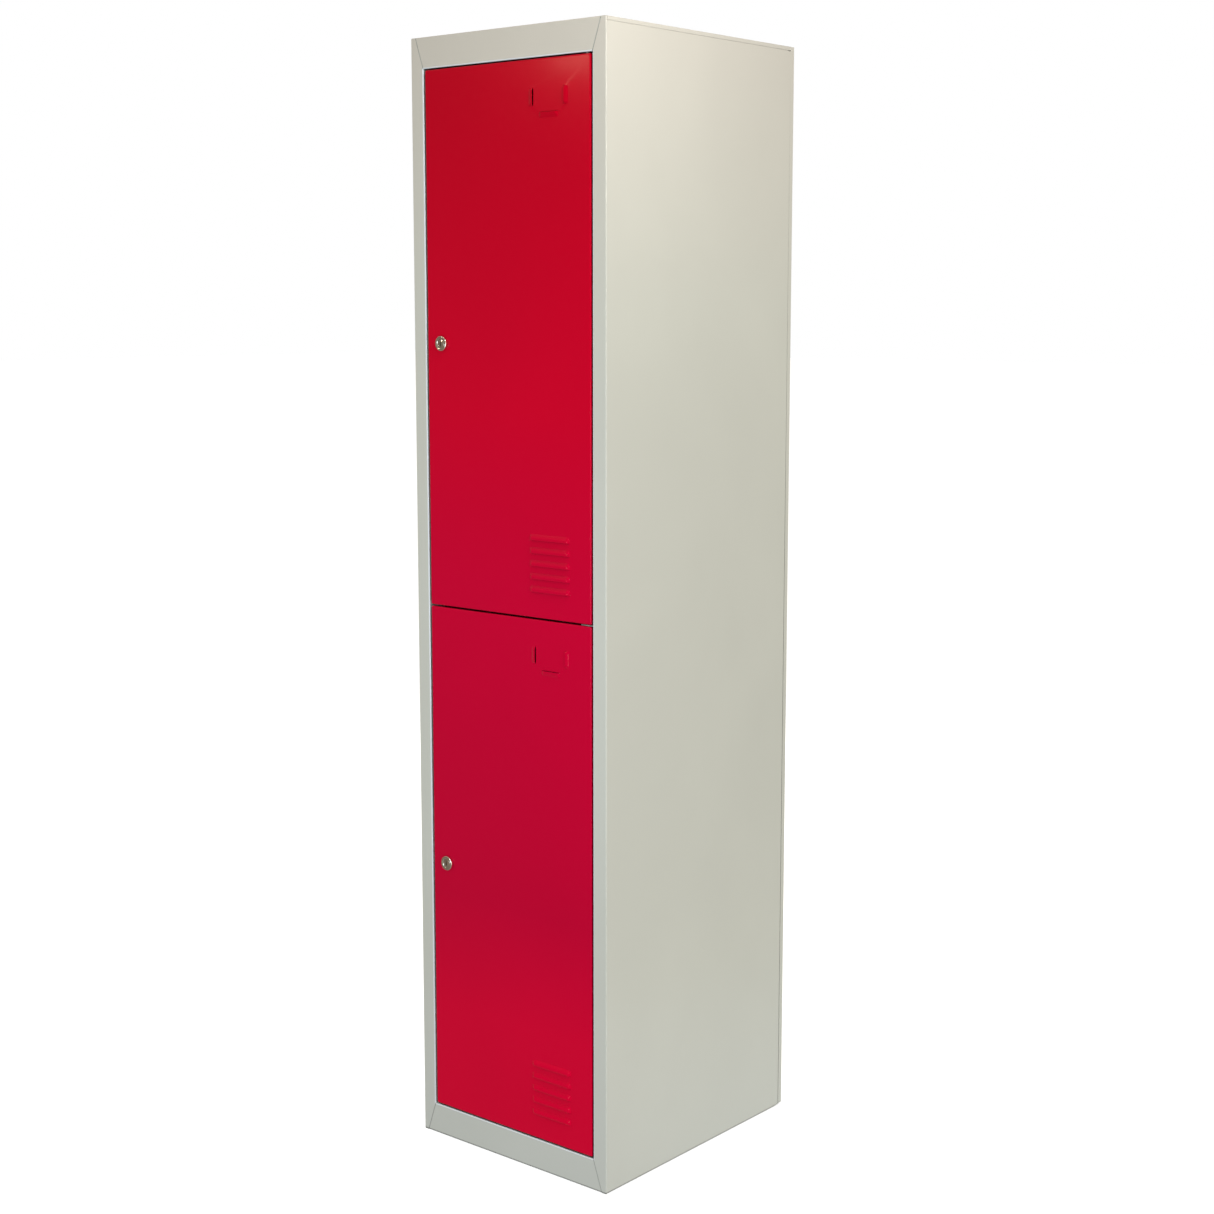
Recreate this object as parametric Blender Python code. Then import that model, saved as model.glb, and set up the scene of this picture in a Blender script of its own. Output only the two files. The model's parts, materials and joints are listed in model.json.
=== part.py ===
"""Two-tier school locker: a folded sheet-steel cabinet with two pivoted doors and cam locks.

Metres, +Z up, the doors face -Y. The origin is the centre of the footprint, on the floor.
"""
import math

import bmesh
import bpy
from mathutils import Vector
from mathutils.geometry import delaunay_2d_cdt

MM = 0.001

# Cabinet
WIDTH = 380 * MM
DEPTH = 450 * MM
HEIGHT = 1700 * MM
SHEET = 0.8 * MM            # cabinet sheet
BEND = 1.6 * MM             # outer radius of a fold
BEND_INNER = 0.8 * MM       # radius of a fold on its hollow side
FOLD_STEPS = 4              # facets round a right-angle fold
GAP = 0.3 * MM              # air between neighbouring pieces
SEAM = 0.2 * MM             # half of a mitre seam

STILE = 25 * MM             # face of the front stiles
TOP_RAIL = 46 * MM
BOTTOM_RAIL = 48 * MM
MITRE_START = 9 * MM        # from the outer corner to the mitre seam
STOP_DEPTH = 20.5 * MM      # from the front plane to the stop lip's face
LIP = 12 * MM
RETURN = 22 * MM            # depth of the rails' return flanges
FLANGE = 15 * MM            # weld and foot flanges
ROOF_DROP = 5.2 * MM        # side fold of the top panel
BACK_LAP = 10 * MM          # side fold of the back panel
SHELF_SETBACK = 27 * MM     # from the front plane to the divider shelf

# Doors
DOOR_SHEET = 0.9 * MM
DOOR_BEND = 1.8 * MM
DOOR_CORNER = 2.6 * MM
DOOR_DEPTH = 18 * MM
DOOR_WIDTH = 324 * MM
DOOR_LIP = 12 * MM
TAB_RISE = 2.1 * MM
TAB_SLOT = 0.9 * MM
DOOR_GAP = 2.5 * MM         # between the two doors
RAIL_GAP = 2 * MM           # between a door and a rail
PIVOT_INSET = 12 * MM       # hinge line, from the door's right edge
PIVOT_DEPTH = 8 * MM        # hinge line, behind the front plane

# Lock
LOCK_FROM_SIDE = 58.5 * MM  # lock centre, from the cabinet's left side
LOCK_DROP = 2 * MM          # lock centre, below the door's middle
LOCK_PROUD = 4.5 * MM
BEZEL_R = 11.2 * MM
BARREL_R = 9.3 * MM
BARREL_BORE = 6.9 * MM
BARREL_END = 22.6 * MM      # end of the barrel, behind the front plane
PLUG_R = 6.6 * MM
CAM_FRONT = 23.4 * MM
CAM_THICK = 2 * MM
CAM_LENGTH = 42 * MM
CAM_HALF = 8 * MM
SQUARE = 8 * MM

# Pivots
PIN_R = 2.5 * MM
BUSH_R = 4 * MM
BUSH_FLANGE_R = 6 * MM
BUSH_LENGTH = 9 * MM
PIN_REACH = 11 * MM         # how far a pin goes into a door
PLATE = 1.2 * MM            # pivot bracket sheet

FRONT_Y = (LOCK_PROUD - DEPTH) / 2
BACK_Y = FRONT_Y + DEPTH
SIDE_X = WIDTH / 2
DOOR_HALF = DOOR_WIDTH / 2
DOOR_BOTTOM = BOTTOM_RAIL + RAIL_GAP
DOOR_TOP = HEIGHT - TOP_RAIL - RAIL_GAP
MID_Z = (DOOR_BOTTOM + DOOR_TOP) / 2
DOOR_SPANS = {
    "upper": (MID_Z + DOOR_GAP / 2, DOOR_TOP),
    "lower": (DOOR_BOTTOM, MID_Z - DOOR_GAP / 2),
}
PIVOT_X = DOOR_HALF - PIVOT_INSET
PIVOT_Y = FRONT_Y + PIVOT_DEPTH
LOCK_X = LOCK_FROM_SIDE - SIDE_X

# Colours: linear RGB, roughness, metallic
FINISHES = {
    "body_paint": ((0.60, 0.59, 0.53), 0.45, 0.0),
    "door_paint": ((0.52, 0.002, 0.022), 0.22, 0.0),
    "chrome": ((0.78, 0.77, 0.75), 0.10, 1.0),
    "zinc": ((0.56, 0.57, 0.58), 0.35, 1.0),
    "nylon": ((0.75, 0.74, 0.70), 0.50, 0.0),
    "rubber": ((0.03, 0.03, 0.03), 0.80, 0.0),
}


# ---------------------------------------------------------------- helpers

def clear_scene():
    """Remove every object already in the scene."""
    for obj in list(bpy.data.objects):
        bpy.data.objects.remove(obj, do_unlink=True)


def finish_material(slot, node):
    """A material of its own for one node, in the finish of its slot."""
    colour, roughness, metallic = FINISHES[slot]
    mat = bpy.data.materials.new(f"{slot}_{node}")
    mat.use_nodes = True
    shader = mat.node_tree.nodes["Principled BSDF"]
    shader.inputs["Base Color"].default_value = (*colour, 1.0)
    shader.inputs["Roughness"].default_value = roughness
    shader.inputs["Metallic"].default_value = metallic
    mat.diffuse_color = (*colour, 1.0)
    return mat


def add_object(name, bm, slot, origin, smooth_angle=40):
    """Turn a bmesh in world coordinates into a named object with its origin at a given point."""
    for vert in bm.verts:
        vert.co -= Vector(origin)
    mesh = bpy.data.meshes.new(name)
    bm.to_mesh(mesh)
    bm.free()
    mesh.shade_smooth()
    mesh.set_sharp_from_angle(angle=math.radians(smooth_angle))
    mesh.materials.append(finish_material(slot, name))
    obj = bpy.data.objects.new(name, mesh)
    obj.location = origin
    bpy.context.scene.collection.objects.link(obj)
    return obj


def rounded(corners, radii, steps=FOLD_STEPS):
    """A 2-D polyline through the corners, each inner corner rounded to its radius (0 keeps the point)."""
    points = [Vector(corners[0])]
    for before, corner, after, radius in zip(corners, corners[1:], corners[2:], radii):
        corner = Vector(corner)
        if radius == 0:
            points.append(corner)
            continue
        to_before = (Vector(before) - corner).normalized()
        to_after = (Vector(after) - corner).normalized()
        half = to_before.angle(to_after) / 2
        reach = radius / math.tan(half)
        centre = corner + (to_before + to_after).normalized() * (radius / math.sin(half))
        first = corner + to_before * reach - centre
        last = corner + to_after * reach - centre
        turn = first.angle_signed(last)
        for step in range(steps + 1):
            angle = -turn * step / steps
            cosine = math.cos(angle)
            sine = math.sin(angle)
            arm = Vector((first.x * cosine - first.y * sine, first.x * sine + first.y * cosine))
            points.append(centre + arm)
    points.append(Vector(corners[-1]))
    return points


def add_strip(bm, rows):
    """Quads between neighbouring rows; every row is a list of points."""
    made = [[bm.verts.new(point) for point in row] for row in rows]
    for row, following in zip(made, made[1:]):
        for index in range(len(row) - 1):
            bm.faces.new((row[index], row[index + 1], following[index + 1], following[index]))


def add_fold(bm, path, low, high, place):
    """Sweep a folded section between two ends that may differ from point to point."""
    add_strip(bm, [(place(p, low(p)), place(p, high(p))) for p in path])


def orient(bm, toward):
    """Weld the sheet and make its visible side face outwards."""
    bmesh.ops.remove_doubles(bm, verts=bm.verts, dist=0.01 * MM)
    bmesh.ops.recalc_face_normals(bm, faces=bm.faces)
    direction = Vector(toward)
    guide = max(bm.faces, key=lambda face: abs(face.normal.dot(direction)) * face.calc_area())
    if guide.normal.dot(direction) < 0:
        bmesh.ops.reverse_faces(bm, faces=bm.faces)


def add_sheet(name, bm, toward, slot, origin, thickness):
    """A sheet-metal piece: the modelled skin is its visible side, and the metal lies behind it."""
    orient(bm, toward)
    obj = add_object(name, bm, slot, origin)
    solid = obj.modifiers.new("thickness", "SOLIDIFY")
    solid.thickness = thickness
    solid.offset = -1
    solid.use_even_offset = True
    return obj


def lathe(profile, centre, axis, steps):
    """Turn a closed profile of (radius, height) about an axis, Z or Y."""
    bm = bmesh.new()
    rings = []
    for step in range(steps):
        angle = math.tau * step / steps
        ring = []
        for radius, height in profile:
            across = radius * math.cos(angle)
            along = radius * math.sin(angle)
            spot = (across, along, height) if axis == "Z" else (across, height, along)
            ring.append(bm.verts.new(Vector(centre) + Vector(spot)))
        rings.append(ring)
    for ring, following in zip(rings, rings[1:] + rings[:1]):
        for index in range(len(profile)):
            after = (index + 1) % len(profile)
            bm.faces.new((ring[index], following[index], following[after], ring[after]))
    bmesh.ops.remove_doubles(bm, verts=bm.verts, dist=0.001 * MM)
    bmesh.ops.recalc_face_normals(bm, faces=bm.faces)
    return bm


def prism(outline, hole, front, back):
    """A plate in the XZ plane with a hole of as many corners as the outline, between two depths."""
    bm = bmesh.new()
    loops = [(outline, front), (outline, back), (hole, back), (hole, front)]
    rows = [[bm.verts.new((x, y, z)) for x, z in loop] for loop, y in loops]
    count = len(outline)
    for row, following in zip(rows, rows[1:] + rows[:1]):
        for index in range(count):
            after = (index + 1) % count
            bm.faces.new((row[index], row[after], following[after], following[index]))
    bmesh.ops.recalc_face_normals(bm, faces=bm.faces)
    return bm


def circle(centre, radius, count, turn=0.0):
    """Points of a circle in the XZ plane."""
    angles = [turn + math.tau * index / count for index in range(count)]
    return [(centre[0] + radius * math.cos(a), centre[1] + radius * math.sin(a)) for a in angles]


def cut(obj, cutter_bm, name):
    """Cut a closed shape out of an object."""
    cutter = add_object(f"{name}_cutter", cutter_bm, "zinc", (0, 0, 0))
    cutter.hide_render = True
    cutter.display_type = "WIRE"
    boolean = obj.modifiers.new(name, "BOOLEAN")
    boolean.operation = "DIFFERENCE"
    boolean.object = cutter


def drill(obj, name, centre, radius, length):
    """Cut a round vertical hole through a sheet."""
    half = length / 2
    profile = [(0, -half), (radius, -half), (radius, half), (0, half)]
    cut(obj, lathe(profile, centre, "Z", 24), name)


# ---------------------------------------------------------------- cabinet

def side_panel(name, side, lip_inward):
    """A side wall folded forward into a stile; side is -1 for the left panel and 1 for the right."""
    tongue = SHEET + GAP
    wall_front = FRONT_Y + BEND + 1.0 * MM
    wall_rear = BACK_Y - BACK_LAP - 2 * MM
    step_y = wall_front - 0.4 * MM
    seam_top = HEIGHT - ROOF_DROP - GAP
    rail_low = BOTTOM_RAIL + GAP
    rail_high = HEIGHT - TOP_RAIL - GAP
    wall_low = BEND
    wall_high = seam_top - BEND
    corners = [
        (tongue, BACK_Y - SHEET - GAP),
        (tongue, BACK_Y - BACK_LAP - GAP),
        (0, BACK_Y - BACK_LAP - 1.2 * MM),
        (0, wall_rear),
        (0, wall_front),
        (0, step_y),
        (0, FRONT_Y),
        (MITRE_START, FRONT_Y),
        (STILE, FRONT_Y),
    ]
    radii = [0, 0, 0, 0, 0, BEND, 0, BEND]
    if lip_inward:
        corners += [(STILE, FRONT_Y + STOP_DEPTH), (STILE + LIP, FRONT_Y + STOP_DEPTH)]
        radii += [BEND_INNER]
    else:
        rear_face = FRONT_Y + STOP_DEPTH + SHEET
        corners += [(STILE, rear_face), (STILE - LIP, rear_face)]
        radii += [BEND]
    path = rounded(corners, radii)

    def mitre(u):
        return min(max((u - MITRE_START) / (STILE - MITRE_START), 0), 1)

    def on_face(p):
        return p.y < FRONT_Y + BEND - 0.01 * MM and p.x > BEND

    def low(p):
        if p.y >= wall_front - 0.01 * MM and p.x < 2 * tongue:
            return wall_low
        if on_face(p) or p.x < MITRE_START:
            return BOTTOM_RAIL * mitre(p.x)
        return rail_low

    def high(p):
        if p.y >= wall_front - 0.01 * MM and p.x < 2 * tongue:
            return wall_high
        if on_face(p) or p.x < MITRE_START:
            return HEIGHT - GAP - TOP_RAIL * mitre(p.x)
        return rail_high

    def place(p, z):
        return (side * (SIDE_X - p.x), p.y, z)

    def place_flange(p, y):
        return (side * (SIDE_X - p.x), y, p.y)

    bm = bmesh.new()
    add_fold(bm, path, low, high, place)
    for edge, tip, reach in ((wall_low, 0.0, FLANGE), (wall_high, seam_top, LIP)):
        flange = rounded([(0, edge), (0, tip), (reach, tip)], [BEND])[1:]
        front_end = [wall_front] + [FRONT_Y + 4 * MM + p.x for p in flange[1:]]
        rear_end = [wall_rear] + [BACK_Y - 18 * MM - p.x for p in flange[1:]]
        rows = zip(flange, front_end, rear_end)
        add_strip(bm, [(place_flange(p, y0), place_flange(p, y1)) for p, y0, y1 in rows])
    add_sheet(name, bm, (side, 0, 0), "body_paint", (0, 0, 0), SHEET)


def top_panel():
    """The roof, folded down into the top rail, with a narrow fold over each side wall."""
    rail_z = HEIGHT - TOP_RAIL
    rear_y = BACK_Y - SHEET - GAP
    edge_x = SIDE_X - BEND
    seam_x = SIDE_X - MITRE_START - SEAM
    fold_front = FRONT_Y + BEND + 1.3 * MM
    fold_rear = BACK_Y - BACK_LAP - GAP
    tongue_y = FRONT_Y + SHEET + GAP
    rear_x = SIDE_X - 3 * MM
    bm = bmesh.new()
    right = [
        (seam_x, FRONT_Y + BEND),
        (seam_x + 0.4 * MM, tongue_y),
        (edge_x, tongue_y),
        (edge_x, fold_front),
        (edge_x, fold_rear),
        (edge_x, rear_y - BEND - 0.6 * MM),
        (rear_x, rear_y - BEND),
    ]
    outline = right + [(-x, y) for x, y in reversed(right)]
    bm.faces.new([bm.verts.new((x, y, HEIGHT)) for x, y in outline])
    corners = [
        (FRONT_Y + BEND, HEIGHT),
        (FRONT_Y, HEIGHT),
        (FRONT_Y, rail_z),
        (FRONT_Y + RETURN, rail_z),
        (FRONT_Y + RETURN, rail_z + LIP),
    ]
    rail = rounded(corners, [BEND, BEND, BEND])[1:]

    def rail_end(p):
        if p.x > FRONT_Y + BEND - 0.01 * MM and p.y < HEIGHT - BEND:
            return SIDE_X - STILE - GAP
        along = (HEIGHT - p.y) / TOP_RAIL
        return seam_x - (STILE - MITRE_START) * along

    add_fold(bm, rail, lambda p: -rail_end(p), rail_end, lambda p, x: (x, p.x, p.y))
    fold = rounded([(edge_x, HEIGHT), (SIDE_X, HEIGHT), (SIDE_X, HEIGHT - ROOF_DROP)], [BEND])[1:]
    for side in (-1, 1):
        add_strip(bm, [((side * p.x, fold_front, p.y), (side * p.x, fold_rear, p.y)) for p in fold])
    rear = rounded([(rear_y - BEND, HEIGHT), (rear_y, HEIGHT), (rear_y, HEIGHT - FLANGE)], [BEND])[1:]
    add_strip(bm, [((-rear_x, p.x, p.y), (rear_x, p.x, p.y)) for p in rear])
    panel = add_sheet("top_panel", bm, (0, 0, 1), "body_paint", (0, 0, 0), SHEET)
    drill(panel, "pin_hole", (PIVOT_X, PIVOT_Y, rail_z), PIN_R + GAP, 4 * MM)


def bottom_panel():
    """The floor of the lower compartment, folded down into the bottom rail and its foot flange."""
    rear_y = BACK_Y - SHEET - GAP
    edge_x = SIDE_X - SHEET - GAP
    seam_x = SIDE_X - MITRE_START - SEAM
    neck_x = SIDE_X - STILE - GAP
    wide_y = FRONT_Y + STOP_DEPTH + 2 * MM
    side_front = wide_y + 1 * MM
    side_rear = rear_y - BEND - BACK_LAP
    rear_x = SIDE_X - 4 * MM
    bm = bmesh.new()
    right = [
        (neck_x, FRONT_Y + BEND),
        (neck_x, wide_y),
        (edge_x - BEND, side_front),
        (edge_x - BEND, side_rear),
        (rear_x, side_rear + 1 * MM),
        (rear_x, rear_y - BEND),
    ]
    outline = right + [(-x, y) for x, y in reversed(right)]
    bm.faces.new([bm.verts.new((x, y, BOTTOM_RAIL)) for x, y in outline])
    corners = [
        (FRONT_Y + BEND, BOTTOM_RAIL),
        (FRONT_Y, BOTTOM_RAIL),
        (FRONT_Y, 0),
        (FRONT_Y + FLANGE, 0),
    ]
    rail = rounded(corners, [BEND, BEND])[1:]

    def rail_end(p):
        if p.y > BOTTOM_RAIL - 0.01 * MM:
            return neck_x
        inset = (STILE - MITRE_START) * p.y / BOTTOM_RAIL
        back_off = max(p.x - FRONT_Y - BEND, 0) * 1.1
        return seam_x - inset - back_off

    add_fold(bm, rail, lambda p: -rail_end(p), rail_end, lambda p, x: (x, p.x, p.y))
    low_z = BOTTOM_RAIL - FLANGE
    fold = rounded([(edge_x - BEND, BOTTOM_RAIL), (edge_x, BOTTOM_RAIL), (edge_x, low_z)], [BEND])[1:]
    for side in (-1, 1):
        add_strip(bm, [((side * p.x, side_front, p.y), (side * p.x, side_rear, p.y)) for p in fold])
    rear = rounded([(rear_y - BEND, BOTTOM_RAIL), (rear_y, BOTTOM_RAIL), (rear_y, low_z)], [BEND])[1:]
    add_strip(bm, [((-rear_x, p.x, p.y), (rear_x, p.x, p.y)) for p in rear])
    panel = add_sheet("bottom_panel", bm, (0, 0, 1), "body_paint", (0, 0, 0), SHEET)
    drill(panel, "pin_hole", (PIVOT_X, PIVOT_Y, BOTTOM_RAIL), PIN_R + GAP, 4 * MM)


def back_panel():
    """The back sheet, folded forward over the side walls and at the floor."""
    edge_x = SIDE_X - BEND
    top_z = HEIGHT - GAP
    foot_x = SIDE_X - 4 * MM
    bm = bmesh.new()
    right = [(foot_x, BEND), (edge_x, BEND + 1 * MM), (edge_x, top_z)]
    outline = right + [(-x, z) for x, z in reversed(right)]
    bm.faces.new([bm.verts.new((x, BACK_Y, z)) for x, z in outline])
    fold = rounded([(edge_x, BACK_Y), (SIDE_X, BACK_Y), (SIDE_X, BACK_Y - BACK_LAP)], [BEND])[1:]
    for side in (-1, 1):
        rows = [((side * p.x, p.y, BEND + 1 * MM), (side * p.x, p.y, top_z)) for p in fold]
        add_strip(bm, rows)
    foot = rounded([(BACK_Y, BEND), (BACK_Y, 0), (BACK_Y - FLANGE, 0)], [BEND])[1:]
    add_strip(bm, [((-foot_x, p.x, p.y), (foot_x, p.x, p.y)) for p in foot])
    add_sheet("back_panel", bm, (0, 1, 0), "body_paint", (0, 0, 0), SHEET)


def divider_shelf():
    """The tray between the compartments, with flanges folded down on all four sides."""
    top_z = MID_Z + SHEET / 2
    front_y = FRONT_Y + SHELF_SETBACK
    rear_y = BACK_Y - SHEET - GAP
    edge_x = SIDE_X - SHEET - GAP
    front_x = edge_x - BEND - 1 * MM
    side_front = front_y + BEND + 1 * MM
    side_rear = rear_y - BEND - BACK_LAP
    rear_x = SIDE_X - 4 * MM
    bm = bmesh.new()
    right = [
        (front_x, front_y + BEND),
        (edge_x - BEND, side_front),
        (edge_x - BEND, side_rear),
        (rear_x, side_rear + 1 * MM),
        (rear_x, rear_y - BEND),
    ]
    outline = right + [(-x, y) for x, y in reversed(right)]
    bm.faces.new([bm.verts.new((x, y, top_z)) for x, y in outline])
    low_z = top_z - 25 * MM
    corners = [(front_y + BEND, top_z), (front_y, top_z), (front_y, low_z), (front_y + LIP, low_z)]
    front = rounded(corners, [BEND, BEND])[1:]
    add_strip(bm, [((-front_x, p.x, p.y), (front_x, p.x, p.y)) for p in front])
    drop_z = top_z - FLANGE
    fold = rounded([(edge_x - BEND, top_z), (edge_x, top_z), (edge_x, drop_z)], [BEND])[1:]
    for side in (-1, 1):
        add_strip(bm, [((side * p.x, side_front, p.y), (side * p.x, side_rear, p.y)) for p in fold])
    rear = rounded([(rear_y - BEND, top_z), (rear_y, top_z), (rear_y, drop_z)], [BEND])[1:]
    add_strip(bm, [((-rear_x, p.x, p.y), (rear_x, p.x, p.y)) for p in rear])
    add_sheet("divider_shelf", bm, (0, 0, 1), "body_paint", (0, 0, 0), SHEET)


def pivot_bracket():
    """The angle plate in the gap between the doors, which carries the middle pivot pin."""
    rear_y = FRONT_Y + SHELF_SETBACK - GAP
    top_z = MID_Z + PLATE / 2
    right_x = SIDE_X - STILE - 2 * GAP
    left_x = right_x - 22 * MM
    path = rounded([(FRONT_Y + 0.8 * MM, top_z), (rear_y, top_z), (rear_y, top_z - 22 * MM)], [2 * MM])
    bm = bmesh.new()
    add_strip(bm, [((left_x, p.x, p.y), (right_x, p.x, p.y)) for p in path])
    bracket = add_sheet("pivot_bracket", bm, (0, 0, 1), "zinc", (0, 0, 0), PLATE)
    drill(bracket, "pin_hole", (PIVOT_X, PIVOT_Y, MID_Z), PIN_R + GAP, 4 * MM)


def pivot_pins():
    """A headed pin in the top rail, a headed pin in the floor and a plain pin in the bracket."""
    chamfer = 0.6 * MM
    head = 5 * MM
    rise = 2 * MM
    tops = {
        "upper_pivot_pin": (HEIGHT - TOP_RAIL + SHEET + GAP, -1, DOOR_TOP - PIN_REACH),
        "lower_pivot_pin": (BOTTOM_RAIL - SHEET - GAP, 1, DOOR_BOTTOM + PIN_REACH),
    }
    for name, (seat, way, tip) in tops.items():
        profile = [
            (0, seat - way * rise),
            (head - chamfer, seat - way * rise),
            (head, seat - way * (rise - chamfer)),
            (head, seat),
            (PIN_R, seat),
            (PIN_R, tip - way * chamfer),
            (PIN_R - chamfer, tip),
            (0, tip),
        ]
        bm = lathe(profile, (PIVOT_X, PIVOT_Y, 0), "Z", 16)
        add_object(name, bm, "zinc", (PIVOT_X, PIVOT_Y, seat))
    reach = DOOR_GAP / 2 + PIN_REACH
    profile = [
        (0, -reach),
        (PIN_R - chamfer, -reach),
        (PIN_R, chamfer - reach),
        (PIN_R, reach - chamfer),
        (PIN_R - chamfer, reach),
        (0, reach),
    ]
    bm = lathe(profile, (PIVOT_X, PIVOT_Y, MID_Z), "Z", 16)
    add_object("middle_pivot_pin", bm, "zinc", (PIVOT_X, PIVOT_Y, MID_Z))


def coat_hook(name, ceiling):
    """A double coat hook bent from one strip, its flat middle under the ceiling."""
    thick = 2.5 * MM
    top_z = ceiling - GAP
    foot = 16 * MM
    tip = 34 * MM
    low = top_z - 44 * MM
    y_mid = (FRONT_Y + BACK_Y) / 2
    half_width = 9 * MM
    right = [(foot, top_z), (foot, low), (tip, low), (tip, low + 18 * MM)]
    corners = [(-x, z) for x, z in reversed(right)] + right
    path = rounded(corners, [8 * MM, 8 * MM, 4 * MM, 4 * MM, 8 * MM, 8 * MM])
    bm = bmesh.new()
    add_strip(bm, [((p.x, y_mid - half_width, p.y), (p.x, y_mid + half_width, p.y)) for p in path])
    add_sheet(name, bm, (0, 0, 1), "zinc", (0, y_mid, top_z), thick)


def door_buffer(name, z):
    """A rubber button on the stop lip, which the closed door rests on."""
    radius = 5 * MM
    edge = 0.5 * MM
    seat = FRONT_Y + STOP_DEPTH - GAP
    face = FRONT_Y + DOOR_DEPTH + GAP
    profile = [(0, face), (radius - edge, face), (radius, face + edge), (radius, seat), (0, seat)]
    x = STILE + LIP / 2 - SIDE_X
    bm = lathe(profile, (x, 0, z), "Y", 16)
    add_object(name, bm, "rubber", (x, seat, z))


# ---------------------------------------------------------------- doors

def hood_grid(box, free_side, rise, roll, slot, end, across, along):
    """A pressed hood over a window: rows from its hinged edge to its free edge, as (x, z, height).

    roll is how far it follows a half wave: 0.5 ends level, and more turns back down. slot is the width of the
    open strip past its free edge.
    """
    x0, x1, z0, z1 = box
    sideways = free_side in ("left", "right")
    length = (z1 - z0) if sideways else (x1 - x0)
    cover = 1 - slot / ((x1 - x0) if sideways else (z1 - z0))
    ends = [end * step / along for step in range(along + 1)]
    stations = ends + [length - value for value in reversed(ends)]
    rows = []
    for step in range(across + 1):
        share = cover * step / across
        lift = rise * math.sin(roll * math.pi * step / across)
        row = []
        for station in stations:
            edge = min(station, length - station) / end
            height = lift * math.sin(min(edge, 1) * math.pi / 2)
            if free_side == "down":
                spot = (x0 + station, z1 + (z0 - z1) * share)
            elif free_side == "up":
                spot = (x0 + station, z0 + (z1 - z0) * share)
            elif free_side == "right":
                spot = (x0 + (x1 - x0) * share, z0 + station)
            else:
                spot = (x1 + (x0 - x1) * share, z0 + station)
            row.append((*spot, height))
        rows.append(row)
    return rows


def hood_border(rows, slot, free_side):
    """The window's loop: down one end, along the hinged edge, up the other end and round the open slot."""
    loop = [row[0][:2] for row in reversed(rows)]
    loop += [point[:2] for point in rows[0][1:]]
    loop += [row[-1][:2] for row in rows[1:]]
    if slot > 0:
        across, up = {"left": (-slot, 0), "right": (slot, 0), "up": (0, slot), "down": (0, -slot)}[free_side]
        loop += [(x + across, z + up) for x, z in (loop[-1], loop[0])]
    return loop


def door_hoods(bottom, top):
    """The five louvres and the three card tabs of a door whose skin spans these heights."""
    hoods = []
    for index in range(5):
        crown = bottom + 123.5 * MM - index * 19 * MM
        box = (44 * MM, 121.5 * MM, crown - 9 * MM, crown)
        hoods.append((box, "down", 3.6 * MM, 0.68, 0, 6 * MM, 4, 3))
    tab_low = top - 66 * MM
    tab_high = top - 40 * MM
    left_box = (46 * MM, 54.5 * MM, tab_low, tab_high)
    right_box = (112 * MM, 120.5 * MM, tab_low, tab_high)
    bottom_box = (66 * MM, 102 * MM, top - 83 * MM, top - 74.5 * MM)
    tabs = ((left_box, "right", TAB_SLOT), (right_box, "left", TAB_SLOT), (bottom_box, "up", GAP))
    for box, free_side, slot in tabs:
        hoods.append((box, free_side, TAB_RISE, 0.5, slot, 5 * MM, 2, 3))
    return hoods


def pan_ring(inset, depth, bottom, top):
    """One loop of the door pan, as deep and as far inside its outline as asked."""
    radius = max(DOOR_CORNER - inset, 0.5 * MM)
    steps = 3
    half_x = DOOR_HALF - inset - radius
    low_z = bottom + inset + radius
    high_z = top - inset - radius
    centres = [(half_x, high_z), (-half_x, high_z), (-half_x, low_z), (half_x, low_z)]
    ring = []
    for quarter, (cx, cz) in enumerate(centres):
        for step in range(steps + 1):
            angle = math.pi / 2 * (quarter + step / steps)
            x = cx + radius * math.cos(angle)
            z = cz + radius * math.sin(angle)
            ring.append(Vector((x, FRONT_Y + depth, z)))
    return ring


def door_skin(bottom, top, lock_z):
    """The visible side of a door: flanged edges, front face, hoods and lock hole, in one sheet."""
    bm = bmesh.new()
    corners = [(DOOR_LIP, DOOR_DEPTH), (0, DOOR_DEPTH), (0, 0), (DOOR_BEND, 0)]
    section = rounded(corners, [DOOR_BEND, DOOR_BEND])[:-1]
    rings = [pan_ring(p.x, p.y, bottom, top) for p in section]
    add_strip(bm, [ring + ring[:1] for ring in rings])

    loops = [[(v.x, v.z) for v in rings[-1]]]
    hole_r = BARREL_R + GAP
    loops.append(circle((LOCK_X, lock_z), hole_r, 24))
    hoods = []
    windows = []
    for hood in door_hoods(bottom, top):
        box, free_side, _, _, slot = hood[:5]
        rows = hood_grid(*hood)
        hoods.append(rows)
        windows.append(box)
        loops.append(hood_border(rows, slot, free_side))
    points = []
    edges = []
    for loop in loops:
        start = len(points)
        count = len(loop)
        points += [Vector(p) for p in loop]
        edges += [(start + i, start + (i + 1) % count) for i in range(count)]
    filled = delaunay_2d_cdt(points, edges, [], 1, 0.001 * MM)
    flat = [bm.verts.new((p.x, FRONT_Y, p.y)) for p in filled[0]]
    for face in filled[2]:
        centre = sum((filled[0][index] for index in face), Vector((0, 0))) / len(face)
        in_hole = (centre - Vector((LOCK_X, lock_z))).length < hole_r
        in_window = any(x0 < centre.x < x1 and z0 < centre.y < z1 for x0, x1, z0, z1 in windows)
        if not (in_hole or in_window):
            bm.faces.new([flat[index] for index in face])
    for rows in hoods:
        add_strip(bm, [[(x, FRONT_Y - h, z) for x, z, h in row] for row in rows])
    return bm


def door_panel(tier, bottom, top, lock_z):
    """One folded door pan, with a hole for a bush at each end of its hinge line."""
    origin = (PIVOT_X, PIVOT_Y, (bottom + top) / 2)
    bm = door_skin(bottom, top, lock_z)
    panel = add_sheet(f"{tier}_door_panel", bm, (0, -1, 0), "door_paint", origin, DOOR_SHEET)
    for end, z in (("top", top), ("bottom", bottom)):
        drill(panel, f"{tier}_{end}_bush_hole", (PIVOT_X, PIVOT_Y, z), BUSH_R + GAP, 4 * MM)


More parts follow.
